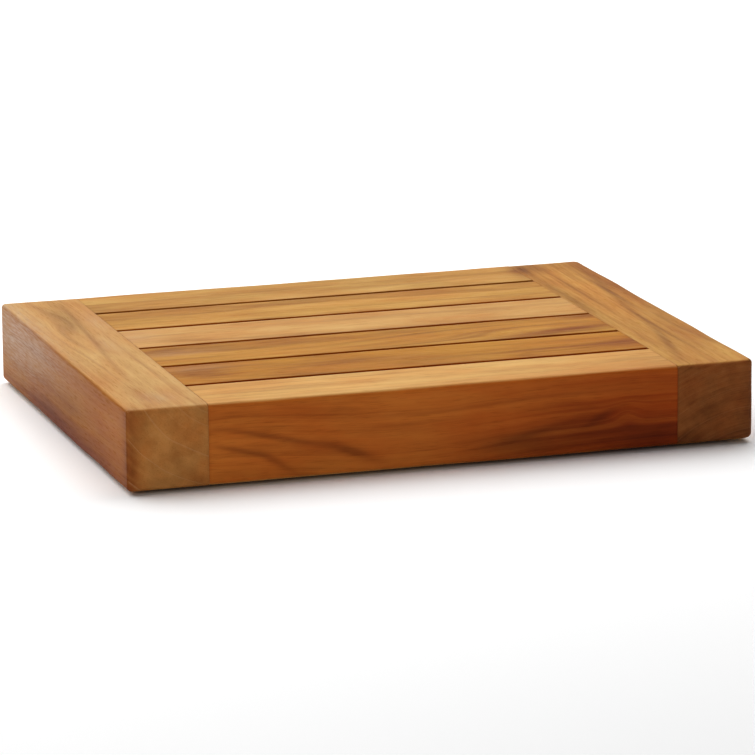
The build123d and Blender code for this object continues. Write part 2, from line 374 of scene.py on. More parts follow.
# The joints, in millimetres, as the frame has them.
joinery = {
    "tongue": {"length": 10.0, "thickness": 8.0, "shoulder": 6.0, "fit": 0.2},  # on each slat end
    "tenon": {"length": 12.0, "thickness": 12.0, "shoulder": 6.0, "fit": 0.15},  # on each batten end
    "endRoom": 1.0,  # behind a tongue, tenon or screw
    "dowelFit": 0.05,
    "dowelEndRoom": 0.5,
    "screwSpacing": 36.0,  # across a slat
    "screwHole": 2.3,  # radius in a batten
    "screwPilot": 2.05,  # radius in a slat
    "screwTop": 57.5,  # height of the screws' points
    "sinkRadius": 4.6,
    "footSeat": 0.3,  # room round a foot
    "footPilot": 1.8,
    "outside": 1.0,  # how far outside a face its cutters start
    "holeSegments": 32,
}


def placeOf(name):
    # the board's middle and its turn, and its half sizes along, across and up without its tongues or tenons
    low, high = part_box(name)
    half = (high - low) / 2 / mm
    turned = boards[name]["grain"] == "Y"
    if turned:
        half = Vector((half.y, half.x, half.z))
    if name in slats:
        half.x -= joinery["tongue"]["length"]
    if name in battens:
        half.x -= joinery["tenon"]["length"]
    turn = Matrix.Rotation(math.radians(90 if turned else 0), 4, "Z")
    return (low + high) / 2, turn, half


def boxShell(stops):
    # closed shell of quads over a box, from the stops along its three edges
    counts = [len(s) for s in stops]
    shell = np.ones(counts, bool)
    shell[1:-1, 1:-1, 1:-1] = False
    at = np.argwhere(shell)
    index = np.full(counts, -1)
    index[shell] = np.arange(len(at))
    points = np.stack([np.asarray(stops[k])[at[:, k]] for k in range(3)], 1)
    faces = []
    for axis in range(3):
        for end in (0, -1):
            layer = np.take(index, end, axis)
            corners = [layer[:-1, :-1], layer[1:, :-1], layer[1:, 1:], layer[:-1, 1:]]
            quads = np.stack(corners, -1).reshape(-1, 4)
            inward = (end == 0) != (axis == 1)
            faces.append(quads[:, ::-1] if inward else quads)
    return points, np.concatenate(faces)


def latheShell(profile, segments):
    # closed shell from a half section of (radius, height) points: from axis to axis, or a loop
    profile = np.asarray(profile, float)
    angles = np.linspace(0, 2 * math.pi, segments, endpoint=False)
    points, faces = [], []
    starts, used = [], 0
    for r, h in profile:
        circle = np.stack([r * np.cos(angles), r * np.sin(angles), np.full(segments, h)], 1)
        starts.append((used, r == 0))
        points.append(np.array([(0, 0, h)]) if r == 0 else circle)
        used += 1 if r == 0 else segments
    around = np.arange(segments)
    nextAround = (around + 1) % segments
    closes = profile[0][0] > 0
    for i in range(len(profile) if closes else len(profile) - 1):
        (a, aPoint), (b, bPoint) = starts[i], starts[(i + 1) % len(profile)]
        if aPoint:
            faces += [(a, b + j, b + k) for j, k in zip(nextAround, around)]
        elif bPoint:
            faces += [(a + j, a + k, b) for j, k in zip(around, nextAround)]
        else:
            faces += [(a + j, a + k, b + k, b + j) for j, k in zip(around, nextAround)]
    return np.concatenate(points), [tuple(int(v) for v in face) for face in faces]


def newMesh(name, shells):
    # one mesh from several closed shells given in millimetres
    points, faces, used = [], [], 0
    for shellPoints, shellFaces in shells:
        points += [tuple(p) for p in np.asarray(shellPoints) * mm]
        faces += [tuple(int(v) + used for v in face) for face in shellFaces]
        used += len(shellPoints)
    mesh = bpy.data.meshes.new(name)
    mesh.from_pydata(points, [], faces)
    mesh.update()
    return mesh


def newPiece(name, mesh):
    piece = bpy.data.objects.new(name, mesh)
    bpy.context.scene.collection.objects.link(piece)
    return piece


def carve(piece, shells, how):
    # cuts closed shells out of a piece, or joins them to it
    tool = newPiece("tool", newMesh("tool", shells))
    change = piece.modifiers.new("carve", "BOOLEAN")
    change.operation, change.object, change.solver = how, tool, "EXACT"
    graph = bpy.context.evaluated_depsgraph_get()
    piece.data = bpy.data.meshes.new_from_object(piece.evaluated_get(graph))
    piece.modifiers.clear()
    bpy.data.objects.remove(tool)


def block(low, high):
    return boxShell([(a, b) for a, b in zip(low, high)])


def drill(steps, start, towards):
    # a round cutter whose steps are (radius, depth) from its start
    profile = [(0, steps[0][1]), *steps, (0, steps[-1][1])]
    points, faces = latheShell(profile, joinery["holeSegments"])
    turn = Vector(towards).to_track_quat("Z", "X").to_matrix()
    return [turn @ Vector(p) + Vector(start) for p in points], faces


def stopsAlong(half):
    # close together at both edges for the rounds, then even
    near = np.array([d for d in milling["stopsAtEdge"] if d < half * milling["edgeShare"]])
    middle = half - near[-1]
    count = max(2, round(2 * middle / milling["step"]))
    even = np.linspace(-middle, middle, count + 1)
    return np.concatenate([-half + near[:-1], even, half - near[:-1][::-1]])


def drift(points, length, seed):
    # smooth unevenness of about -1 to 1, from a few slow waves
    waves = np.random.default_rng(seed)
    total = np.zeros(len(points))
    for _ in range(milling["waves"]):
        direction = waves.normal(size=3)
        direction *= 2 * math.pi / length * waves.uniform(*milling["waveRange"]) / np.linalg.norm(direction)
        total += np.sin(points @ direction + waves.uniform(0, 2 * math.pi))
    return total / (milling["waves"] / 2)


def roundEdges(points, half, pair, radius):
    # bends the four edges between two directions to arcs
    a, b = pair
    da = np.abs(points[:, a]) - (half[a] - radius)
    db = np.abs(points[:, b]) - (half[b] - radius)
    inside = (da > 0) & (db > 0)
    k = np.where(inside, np.maximum(da, db) / np.maximum(np.hypot(da, db), 1e-9), 1)
    for axis, d in ((a, da), (b, db)):
        bent = np.sign(points[:, axis]) * (half[axis] - radius + d * k)
        points[:, axis] = np.where(inside, bent, points[:, axis])


def edgeRound(name, word, mark):
    # the round that one face of a board may have along its edges
    board = boards[name]
    if word == "up" and name in battens:
        return milling["battenEase"] if mark == "-" else milling["jointEase"]
    if word == "up" and name not in slats:
        return milling["outsideRound"]
    if word + mark in board.get("outside", ()):
        return board.get("corner", milling["corner"])
    if name in battens and word == "across":
        return milling["battenEase"]
    return milling["jointEase"] if word == "along" or board["grain"] == "Y" else milling["gapEase"]


def makeBoard(name, seed):
    middle, turn, half = placeOf(name)
    points, faces = boxShell([stopsAlong(half[k]) for k in range(3)])
    rounds = {}
    for k, word in enumerate(("along", "across", "up")):
        for sign, mark in ((-1, "-"), (1, "+")):
            rounds[k, sign] = edgeRound(name, word, mark)
    uneven = 1 + milling["unevenRound"] * drift(points, milling["unevenLength"], seed)
    for pair in ((1, 2), (0, 2), (0, 1)):
        nearest = [np.where(points[:, k] > 0, rounds[k, 1], rounds[k, -1]) for k in pair]
        roundEdges(points, half, pair, np.minimum(*nearest) * uneven)
    faceSeed = seed + 10
    for k in range(3):
        outermost = np.sign(points[:, k]) * (np.abs(points[:, k]) / half[k]) ** milling["wavinessFade"]
        waves = drift(points, milling["wavinessLength"], faceSeed + k)
        points[:, k] += milling["waviness"] * (waves - 1) * outermost
    mesh = newMesh(name + "_wood", [(points, faces)])
    mesh.transform(Matrix.Translation(middle) @ turn)
    return newPiece(name + "_wood", mesh)


def middleOf(node):
    # a node's middle and half sizes in millimetres
    low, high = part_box(node)
    return (low + high) / 2 / mm, (high - low) / 2 / mm


def projection(name, joint):
    # a tongue or tenon right through a board, and out past both ends
    middle, half = middleOf(name)
    along = 1 if boards[name]["grain"] == "Y" else 0
    reach = Vector(half)
    reach[1 - along] -= joint["shoulder"]
    reach.z = joint["thickness"] / 2
    return [block(middle - reach, middle + reach)]


def socket(name, faceAt, outward, axis, joint):
    # the groove or mortise that takes it, in a piece whose face is at faceAt
    middle, half = middleOf(name)
    low, high = Vector(middle - half), Vector(middle + half)
    low[1 - axis] += joint["shoulder"] - joint["fit"]
    high[1 - axis] -= joint["shoulder"] - joint["fit"]
    reach = joint["thickness"] / 2 + joint["fit"]
    low.z, high.z = middle.z - reach, middle.z + reach
    depth = joint["length"] + joinery["endRoom"]
    low[axis], high[axis] = sorted((faceAt - outward * joinery["outside"], faceAt + outward * depth))
    return low, high


def dowelHoles(face, outward):
    # the holes for the dowels that cross the joint at x = face
    holes = []
    outside = joinery["outside"]
    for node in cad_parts:
        middle, half = middleOf(node)
        if node.startswith("dowel") and abs(middle.x - face) < outside:
            radius = half.y + joinery["dowelFit"]
            steps = [(radius, -outside), (radius, half.x + joinery["dowelEndRoom"])]
            holes.append(drill(steps, middle, (outward, 0, 0)))
    return holes


def footHole(foot, screw):
    # a seat for a foot and a pilot hole for its screw, from below
    middle, half = middleOf(foot)
    bottom = middle.z - half.z
    screwMiddle, screwHalf = middleOf(screw)
    seat, seatDepth = half.x + joinery["footSeat"], 2 * half.z
    pilot, pilotDepth = joinery["footPilot"], screwMiddle.z + screwHalf.z + joinery["endRoom"] - bottom
    steps = [(seat, -joinery["outside"]), (seat, seatDepth), (pilot, seatDepth), (pilot, pilotDepth)]
    return drill(steps, (middle.x, middle.y, bottom), (0, 0, 1))


def screwPlaces(batten):
    # two screws go up through a batten into each slat
    x = middleOf(batten)[0].x
    step = joinery["screwSpacing"] / 2
    return [(x, middleOf(slat)[0].y + side * step) for slat in slats for side in (1, -1)]


def joinBoard(wood, name):
    # cuts each board's joints, seats and holes
    middle, half = middleOf(name)
    tongue, tenon = joinery["tongue"], joinery["tenon"]
    outside = joinery["outside"]
    cuts = []
    if name.startswith("end_rail"):
        outward = 1 if middle.x > 0 else -1
        face = middle.x - outward * half.x
        grooves = [socket(slat, face, outward, 0, tongue) for slat in slats]
        low = [min(groove[0][k] for groove in grooves) for k in range(3)]
        high = [max(groove[1][k] for groove in grooves) for k in range(3)]
        cuts += [block(low, high)] + dowelHoles(face, outward)
        corners = [end + name.replace("end_rail", "") for end in ("front", "back")]
        cuts += [footHole("foot_" + corner, "foot_screw_" + corner) for corner in corners]
    elif name.endswith("_rail"):
        outward = 1 if middle.y > 0 else -1
        face = middle.y - outward * half.y
        cuts += [block(*socket(batten, face, outward, 1, tenon)) for batten in battens]
        for end in (-1, 1):
            cuts += dowelHoles(end * half.x, -end)
    else:
        carve(wood, projection(name, tongue if name in slats else tenon), "UNION")
    for batten in battens:
        for x, y in screwPlaces(batten):
            if name == batten or (name in slats and abs(y - middle.y) < half.y):
                bottom = middle.z - half.z
                pilot, clear, sink = joinery["screwPilot"], joinery["screwHole"], joinery["sinkRadius"]
                steps = [(pilot, -outside), (pilot, joinery["screwTop"] + joinery["endRoom"] - bottom)]
                if name == batten:
                    steps = [(sink + outside, -outside), (clear, sink - clear), (clear, 2 * half.z + outside)]
                cuts.append(drill(steps, (x, y, bottom), (0, 0, 1)))
    carve(wood, cuts, "DIFFERENCE")
    wood.data.shade_smooth()
    wood.data.set_sharp_from_angle(angle=math.radians(milling["sharpest"]))


# Teak, sawn, planed, sanded to a fine grit and oiled: golden brown with darker growth rings, fine pores along
# the grain and a low satin sheen. Upright faces get a painted shade, darker and redder, and end grain shows
# some rings as pale lines.
# Sizes are in mm: along the grain, across it and up, or for streaks and fibres along, through and round the
# rings. Ranges are from where a thing starts to show to where it is full.
teak = {
    "wander": 1.8,  # how far the growth rings stray, in mm
    "wanderSize": (160.0, 45.0, 45.0),
    "harshness": 0.55,  # of its patterns
    "yearNoise": 0.37,  # good and bad years come and go over about three years
    "yearSpread": 2.5,
    "ringShape": ((0.0, 0.55), (0.06, 0.0), (0.45, 0.22), (0.85, 0.72), (0.97, 1.0)),  # 0 is pale
    "ringMean": 0.25,
    "weakestRing": 0.25,
    "ringContrast": 0.11,
    "streakContrast": 0.38,
    "streakSize": (420.0, 5.5, 60.0),
    "fibreContrast": 0.22,
    "fibreSize": (60.0, 0.9, 8.0),  # real fibre bundles are 0.3 mm, drawn coarser to show
    "patchContrast": 0.36,
    "patchSize": (80.0, 22.0, 22.0),
    "toneStops": (0.25, 0.5, 0.75),
    "warmSize": (75.0, 20.0, 20.0),  # some places took more oil and turned more orange
    "warmRange": (0.38, 0.66),
    "warmTint": "#f4c894",
    "warmStrength": 0.4,
    "poreSize": (14.0, 0.8, 0.8),  # real pores are 0.2 mm wide, drawn coarser too
    "poreRange": (0.56, 0.72),
    "poreDarkness": 0.16,
    "poreTint": "#7a5430",
    "endRange": (0.35, 0.85),  # how nearly a face must look along the grain to show end grain
    "sideRange": (0.97, 0.45),  # and how far from up to be an upright face, which gets a painted shade
    # painted shade on upright faces: darker and redder
    "sideShadeTint": "#f0b070",
    "endTint": "#b08a68",
    "endCalm": 0.6,  # how much weaker the pattern is on end grain
    "endLine": 0.16,  # how pale the thin line at some rings is on end grain
    "endLineRange": (0.12, 0.04),  # its part of the year
    "endLineYears": (0.45, 0.8),
    "endLineTint": "#d8b488",
    "mottleSize": (40.0, 15.0, 15.0),  # end grain takes the oil unevenly
    "mottleRange": (0.35, 0.8),
    "mottleTint": "#8a7450",
    "mottle": 0.4,
    "stainAndShadeStreaks": (1.6, 0.2),  # how ragged the streaks make the stains and painted shade: factor and shift
    # pale grey of the dust and of the painted sheen
    "dustAndSheenTint": "#bba796",
    "dustAndSheenSize": (18.0, 1.1, 1.1),  # dry dust and a painted sheen lie in short dashes, drawn a little coarser than pores
    "dustAndSheenRange": (0.36, 0.68),
    "dustAndSheenAmount": (0.3, 1.1),
    "lineTint": "#9c6840",
    "jointReach": 2.2,  # mm of slightly darker wood along a board's edges
    "jointDarkness": 0.14,
    "jointTint": "#a8704c",
    "roughness": 0.46,
    "roughnessSpread": 0.09,
    "poreRoughness": 0.15,  # pores and end grain are duller
    "endRoughness": 0.14,
    "sockets": {"IOR": 1.45, "Specular IOR Level": 0.12},  # oil, nearly dry
    "relief": (0.10, 0.6),  # mm, and strength
    "ringRelief": 0.5,  # rings stand proud and pores lie deep, against the fibres' 1
    "poreRelief": -0.8,
}


def depthAt(board, point):
    # how far a point of a board is from the pith, with the bulges in the grain
    x, y, z = point
    (leanAcross, leanUp), (pithAcross, pithUp) = board["lean"], board["pith"]
    depth = math.hypot(y - pithAcross - leanAcross * x, z - pithUp - leanUp * x)
    for where, reach, lift in board.get("swirls", ()):
        off = sum(((p - w) / r) ** 2 for p, w, r in zip(point, where, reach))
        depth += lift * math.exp(-off)
    return depth


def stretchedPattern(tree, place, size, shift, detail, harshness=teak["harshness"]):
    # soft pattern whose features have a size in mm along each axis, shifted so that no two boards are alike
    scaled = addNode(tree, "Mapping", {"Vector": place, "Location": shift, "Scale": [1 / s for s in size]})
    inputs = {"Vector": scaled, "Scale": 1, "Detail": detail, "Roughness": harshness}
    return addNode(tree, "TexNoise", inputs)


def softPatch(tree, place, where, reach, slopes=(0, 0)):
    # falls from 1 at a place to 0 beyond its reach, and may lie across the grain
    off = addNode(tree, "VectorMath", [place, where], operation="SUBTRACT")
    if any(slopes):
        level = (0, math.radians(slopes[0]), -math.radians(slopes[1]))
        off = addNode(tree, "Mapping", {"Vector": off, "Rotation": level})
    near = addNode(tree, "VectorMath", [off, reach], operation="DIVIDE")
    far = addNode(tree, "VectorMath", [near, near], operation="DOT_PRODUCT").outputs["Value"]
    below = addNode(tree, "Math", [far, -1.0], operation="MULTIPLY")
    return addNode(tree, "Math", [below], operation="EXPONENT")


def grainFlow(tree, board, local, seed):
    # the log wasn't straight, so its rings wander: the bent place, and how far it is along, aside and out
    bend = stretchedPattern(tree, local, teak["wanderSize"], (seed * 3.7, seed, 0), detail=2).outputs["Color"]
    centred = addNode(tree, "VectorMath", [bend, (0.5, 0.5, 0.5)], operation="SUBTRACT")
    wander = 3 * board.get("wander", teak["wander"])
    bent = addNode(tree, "VectorMath", [centred, (0, wander, wander), local], operation="MULTIPLY_ADD")
    along = addNode(tree, "SeparateXYZ", [bent]).outputs["X"]
    lean = {0: (1, *board["lean"]), "Scale": along}
    leaned = addNode(tree, "VectorMath", lean, operation="SCALE")
    straight = addNode(tree, "VectorMath", [bent, leaned], operation="SUBTRACT")
    offPith = addNode(tree, "VectorMath", [straight, (0, *board["pith"])], operation="SUBTRACT")
    aside = addNode(tree, "SeparateXYZ", [offPith]).outputs["Y"]
    depth = addNode(tree, "VectorMath", [offPith], operation="LENGTH").outputs["Value"]
    for where, reach, lift in board.get("swirls", ()):
        bulge = softPatch(tree, local, where, reach)
        depth = addNode(tree, "Math", [bulge, lift, depth], operation="MULTIPLY_ADD")
    return bent, along, aside, depth


def growthRings(tree, board, depth):
    # a year is pale at its start, then slowly darker to a sharp edge: its part, its luck and its darkness
    years = addNode(tree, "Math", [depth, 1 / board["ringWidth"]], operation="MULTIPLY")
    weather = {"W": years, "Scale": teak["yearNoise"], "Detail": 1}
    uneven = addNode(tree, "TexNoise", weather, noise_dimensions="1D")
    count = addNode(tree, "Math", [uneven, teak["yearSpread"], years], operation="MULTIPLY_ADD")
    year = addNode(tree, "Math", [count], operation="FRACT")
    number = addNode(tree, "Math", [count], operation="FLOOR")
    luck = addNode(tree, "TexWhiteNoise", {"W": number}, noise_dimensions="1D").outputs["Value"]
    ring = addNode(tree, "ValToRGB", [year])
    setStops(ring, [(position, (value, value, value, 1)) for position, value in teak["ringShape"]])
    strength = addNode(tree, "MapRange", between(luck, (0, 1), (teak["weakestRing"], 1)))
    rings = addNode(tree, "Math", [ring, strength], operation="MULTIPLY")
    return year, luck, rings


def faceMasks(tree, board):
    # where the surface shows end grain, and where it is an upright side, which gets a painted shade
    normal = addNode(tree, "NewGeometry").outputs["Normal"]
    facing = addNode(tree, "SeparateXYZ", [normal])
    endOn = addNode(tree, "Math", [facing.outputs[board["grain"]]], operation="ABSOLUTE")
    upOn = addNode(tree, "Math", [facing.outputs["Z"]], operation="ABSOLUTE")
    softly = {"interpolation_type": "SMOOTHSTEP"}
    endGrain = addNode(tree, "MapRange", between(endOn, teak["endRange"]), **softly)
    upright = addNode(tree, "MapRange", between(upOn, teak["sideRange"]), **softly)
    notEnd = addNode(tree, "Math", [1.0, endGrain], operation="SUBTRACT")
    side = addNode(tree, "Math", [upright, notEnd], operation="MULTIPLY")
    return endGrain, side


def alongEdges(tree, local, half):
    # rises from 0 inside a board to 1 along its edges
    reach = teak["jointReach"]
    off = addNode(tree, "VectorMath", [local], operation="ABSOLUTE")
    past = addNode(tree, "VectorMath", [off, half - Vector((reach,) * 3)], operation="SUBTRACT")
    near = addNode(tree, "VectorMath", [past, (0, 0, 0)], operation="MAXIMUM")
    axes = addNode(tree, "SeparateXYZ", [near]).outputs
    nextAxes = addNode(tree, "CombineXYZ", [axes["Y"], axes["Z"], axes["X"]])
    both = addNode(tree, "VectorMath", [near, nextAxes], operation="DOT_PRODUCT").outputs["Value"]
    return addNode(tree, "Math", [both, reach**2], operation="DIVIDE")


def makeTeak(name, seed):
    board = boards[name]
    middle, turn, half = placeOf(name)
    material, tree, place = startMaterial("oiledTeak_" + name)

    # board coordinates in mm: x along the grain, y across, z up
    back = turn.inverted()
    toBoard = {"Location": -(back @ middle) / mm, "Rotation": back.to_euler(), "Scale": (1 / mm,) * 3}
    local = addNode(tree, "Mapping", {"Vector": place, **toBoard})
    bent, along, aside, depth = grainFlow(tree, board, local, seed)
    year, luck, rings = growthRings(tree, board, depth)
    endGrain, side = faceMasks(tree, board)

    # streaks and fibres follow the rings, patches and pores don't
    flow = addNode(tree, "CombineXYZ", [along, depth, aside])
    streak = stretchedPattern(tree, flow, teak["streakSize"], (0, seed * 5.3, 0), detail=4)
    fibre = stretchedPattern(tree, flow, teak["fibreSize"], (40, seed * 5.3, 0), detail=3)
    patch = stretchedPattern(tree, local, teak["patchSize"], (seed, 9, 2), detail=3)
    poreNoise = stretchedPattern(tree, bent, teak["poreSize"], (0, 0, 0), detail=1)
    pores = addNode(tree, "MapRange", between(poreNoise, teak["poreRange"]))

    # how dark the wood is: 0.5 is its middle tone
    figure = board.get("figure", 1.0)
    tone = 0.5
    for source, contrast, mean in (
        (rings, teak["ringContrast"] * figure, teak["ringMean"]),
        (streak, teak["streakContrast"] * figure, 0.5),
        (fibre, teak["fibreContrast"] * figure, 0.5),
        (patch, teak["patchContrast"], 0.5),
    ):
        off = addNode(tree, "Math", [source, mean], operation="SUBTRACT")
        tone = addNode(tree, "Math", [off, contrast, tone], operation="MULTIPLY_ADD")
    calm = addNode(tree, "Math", [endGrain, board.get("endCalm", teak["endCalm"])], operation="MULTIPLY")
    toMiddle = addNode(tree, "Math", [0.5, tone], operation="SUBTRACT")
    tone = addNode(tree, "Math", [toMiddle, calm, tone], operation="MULTIPLY_ADD")
    palette = addNode(tree, "ValToRGB", [tone])
    setStops(palette, [(stop, toLinear(colour)) for stop, colour in zip(teak["toneStops"], board["tones"])])

    # tints that lie over it, one after another
    warmNoise = stretchedPattern(tree, local, teak["warmSize"], (3, seed * 1.9, 0), detail=3)
    warm = addNode(tree, "MapRange", between(warmNoise, teak["warmRange"]))
    tints = [(warm, teak["warmStrength"], teak["warmTint"])]
    tints.append((pores, teak["poreDarkness"], teak["poreTint"]))
    rags = addNode(tree, "Math", [streak, *teak["stainAndShadeStreaks"]], operation="MULTIPLY_ADD")
    # stains, and in some places painted shade, each ragged along the streaks
    for where, reach, strength, tint, *slopes in board.get("stainsAndShade", ()):
        stainAndShadePatch = softPatch(tree, bent, where, reach, *slopes)
        ragged = addNode(tree, "Math", [stainAndShadePatch, rags], operation="MULTIPLY", use_clamp=True)
        tints.append((ragged, strength, tint))
    ringPlace = addNode(tree, "CombineXYZ", {"X": along, "Y": depth})
    for where, halfLength, thickness, strength in board["darkLines"]:
        lineMiddle = (where[0], depthAt(board, where), 0)
        line = softPatch(tree, ringPlace, lineMiddle, (halfLength, thickness, 1))
        tints.append((line, strength, teak["lineTint"]))
    # painted shade: upright faces darker and redder
    tints.append((side, 1.0, board.get("sideShadeTint", teak["sideShadeTint"])))
    tints.append((endGrain, 1.0, board.get("endTint", teak["endTint"])))
    mottleNoise = stretchedPattern(tree, local, teak["mottleSize"], (0, seed * 2.1, 0), detail=3)
    blotch = addNode(tree, "MapRange", between(mottleNoise, teak["mottleRange"]))
    endBlotch = addNode(tree, "Math", [blotch, endGrain], operation="MULTIPLY")
    tints.append((endBlotch, teak["mottle"], teak["mottleTint"]))
    # dust and a painted sheen: pale grey dashes in the places listed
    dustAndSheenNoise = stretchedPattern(tree, bent, teak["dustAndSheenSize"], (5, 0, 0), detail=2)
    dashes = addNode(tree, "MapRange", between(dustAndSheenNoise, teak["dustAndSheenRange"], teak["dustAndSheenAmount"]))
    for where, reach, strength in board.get("dustAndSheen", ()):
        dustAndSheen = softPatch(tree, bent, where, reach)
        dustAndSheenSpots = addNode(tree, "Math", [dustAndSheen, dashes], operation="MULTIPLY", use_clamp=True)
        tints.append((dustAndSheenSpots, strength, teak["dustAndSheenTint"], "MIX"))
    start = addNode(tree, "MapRange", between(year, teak["endLineRange"]))
    goodYear = addNode(tree, "MapRange", between(luck, teak["endLineYears"]))
    ringLine = addNode(tree, "Math", [start, goodYear], operation="MULTIPLY")
    endLine = addNode(tree, "Math", [ringLine, endGrain], operation="MULTIPLY")
    tints.append((endLine, teak["endLine"], teak["endLineTint"], "MIX"))
    tints.append((alongEdges(tree, local, half), teak["jointDarkness"], teak["jointTint"]))
    colour = layTints(tree, palette, tints)

    spread = (teak["roughness"] - teak["roughnessSpread"], teak["roughness"] + teak["roughnessSpread"])
    rough = addNode(tree, "MapRange", between(fibre, (0, 1), spread))
    rough = addNode(tree, "Math", [pores, teak["poreRoughness"], rough], operation="MULTIPLY_ADD")
    rough = addNode(tree, "Math", [endGrain, teak["endRoughness"], rough], operation="MULTIPLY_ADD")
    height = addNode(tree, "Math", [rings, teak["ringRelief"], fibre], operation="MULTIPLY_ADD")
    height = addNode(tree, "Math", [pores, teak["poreRelief"], height], operation="MULTIPLY_ADD")
    endMaterial(tree, colour, rough, height, teak)
    return material


def finishPiece(piece, node, material):
    # a finished piece stands for its plain one
    piece.data.materials.clear()
    piece.data.materials.append(material)
    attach(piece, "root")
    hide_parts(node)


for seed, name in enumerate(boards, 1):
    wood = makeBoard(name, seed * 100)
    joinBoard(wood, name)
    finishPiece(wood, name, makeTeak(name, seed))
print("boards made:", len(boards))


# Stainless steel, A2: cold-headed, thread-rolled and tumbled screws and stamped washers. A soft grey metal
# with faint marks and small bright and dull places.
# tints: other colours in soft places: (size in mm, detail, range, colour).
# grain: a fine pattern in roughness and bumps: (size in mm, detail, harshness). relief: (mm, strength).
steelFinish = {
    "colour": "#c6c4bf",
    "tints": (((4.0, 4.0, 4.0), 2, (0, 1), "#8f8d88"),),
    "grain": ((0.5, 0.5, 0.5), 3, 0.6),  # real marks are 0.05 mm apart, drawn coarser
    "roughness": (0.2, 0.45),
    "relief": (0.02, 0.5),
    "sockets": {"Metallic": 1.0},
}

# EPDM rubber, moulded in a spark-eroded mould: matt black, slightly grey where it is dusty.
rubberFinish = {
    "colour": "#181817",
    "tints": (((7.2, 7.2, 7.2), 3, (0.42, 0.7), "#34322f"),),
    "grain": ((0.6, 0.6, 0.6), 2, 0.6),  # mould texture, drawn coarser than the real 0.1 mm
    "roughness": (0.64, 0.85),
    "relief": (0.08, 0.5),
    "sockets": {"IOR": 1.52},
}

# Beech, turned and fluted, left bare: pale pinkish brown with short dark flecks.
beechFinish = {
    "colour": "#d9b68a",
    "tints": (
        ((16.25, 2.1875, 2.1875), 2, (0, 1), "#b98f62"),
        ((2.6, 0.35, 0.35), 1, (0.6, 0.72), "#8c6440"),
    ),
    "grain": ((2.6, 0.35, 0.35), 1, 0.5),  # the flecks'
    "roughness": (0.56, 0.7),
    "relief": (0.05, 0.5),
    "sockets": {"IOR": 1.5},
}


def makeFinish(name, finish):
    # a colour with soft places of other colours, and a fine grain in its roughness and bumps
    material, tree, place = startMaterial(name)
    inMillimetres = addNode(tree, "Mapping", {"Vector": place, "Scale": (1 / mm,) * 3})
    tints = []
    for size, detail, span, tint in finish["tints"]:
        places = stretchedPattern(tree, inMillimetres, size, (0, 0, 0), detail, 0.5)
        tints.append((addNode(tree, "MapRange", between(places, span)), 1.0, tint, "MIX"))
    colour = layTints(tree, toLinear(finish["colour"]), tints)
    size, detail, harshness = finish["grain"]
    grain = stretchedPattern(tree, inMillimetres, size, (0, 0, 0), detail, harshness)
    rough = addNode(tree, "MapRange", between(grain, (0, 1), finish["roughness"]))
    endMaterial(tree, colour, rough, grain, finish)
    return material


steel = makeFinish("stainlessSteelTumbled", steelFinish)
rubber = makeFinish("mouldedRubber", rubberFinish)
beech = makeFinish("turnedBeech", beechFinish)


# Screws, in millimetres: radii, and heights from the top of the head.
screws = {
    "batten": {
        "kind": "countersunk",
        "shank": 1.55,
        "crest": 2.0,
        "root": 1.35,
        "pitch": 1.8,
        "plain": 12.0,
        "point": 4.0,
        "rimRound": 0.15,
        "rimHeight": 0.3,
    },
    "foot": {
        "kind": "pan",
        "shank": 1.35,
        "crest": 1.75,
        "root": 1.2,
        "pitch": 1.5,
        "plain": 2.4,
        "point": 3.0,
        "headHeight": 2.2,
        "crownHeight": 1.6,
        "crownShare": 0.38,  # how much of the head's radius is crowned
    },
    "rowsPerPitch": 8,
    "segments": 28,
    "crestWidth": 0.24,  # half of a crest, as a share of the pitch
    "tipShare": 0.08,  # how blunt the point is
    "crownStep": 15,  # degrees
    "recessWidth": 1.0,
    "recessDepth": 1.4,
    "recessShare": 0.6,  # of the head's diameter
    "recessTaper": 0.7,
    "sharpest": 40.0,  # degrees
}


def screwHead(screw, radius):
    # half section of a head that stands on its top, up to the shank
    if screw["kind"] == "countersunk":
        rim, shank = screw["rimHeight"], screw["shank"]
        edge = [(radius - screw["rimRound"], 0), (radius, screw["rimRound"]), (radius, rim)]
        return [(0, 0), *edge, (shank, radius - shank + rim)]
    flat, crown = 1 - screw["crownShare"], screw["crownShare"]
    head = [(0, 0)]
    for degrees in range(0, 91, screws["crownStep"]):
        a = math.radians(degrees)
        head.append((radius * (flat + crown * math.sin(a)), screw["crownHeight"] * (1 - math.cos(a))))
    return head + [(radius, screw["headHeight"]), (screw["shank"], screw["headHeight"])]


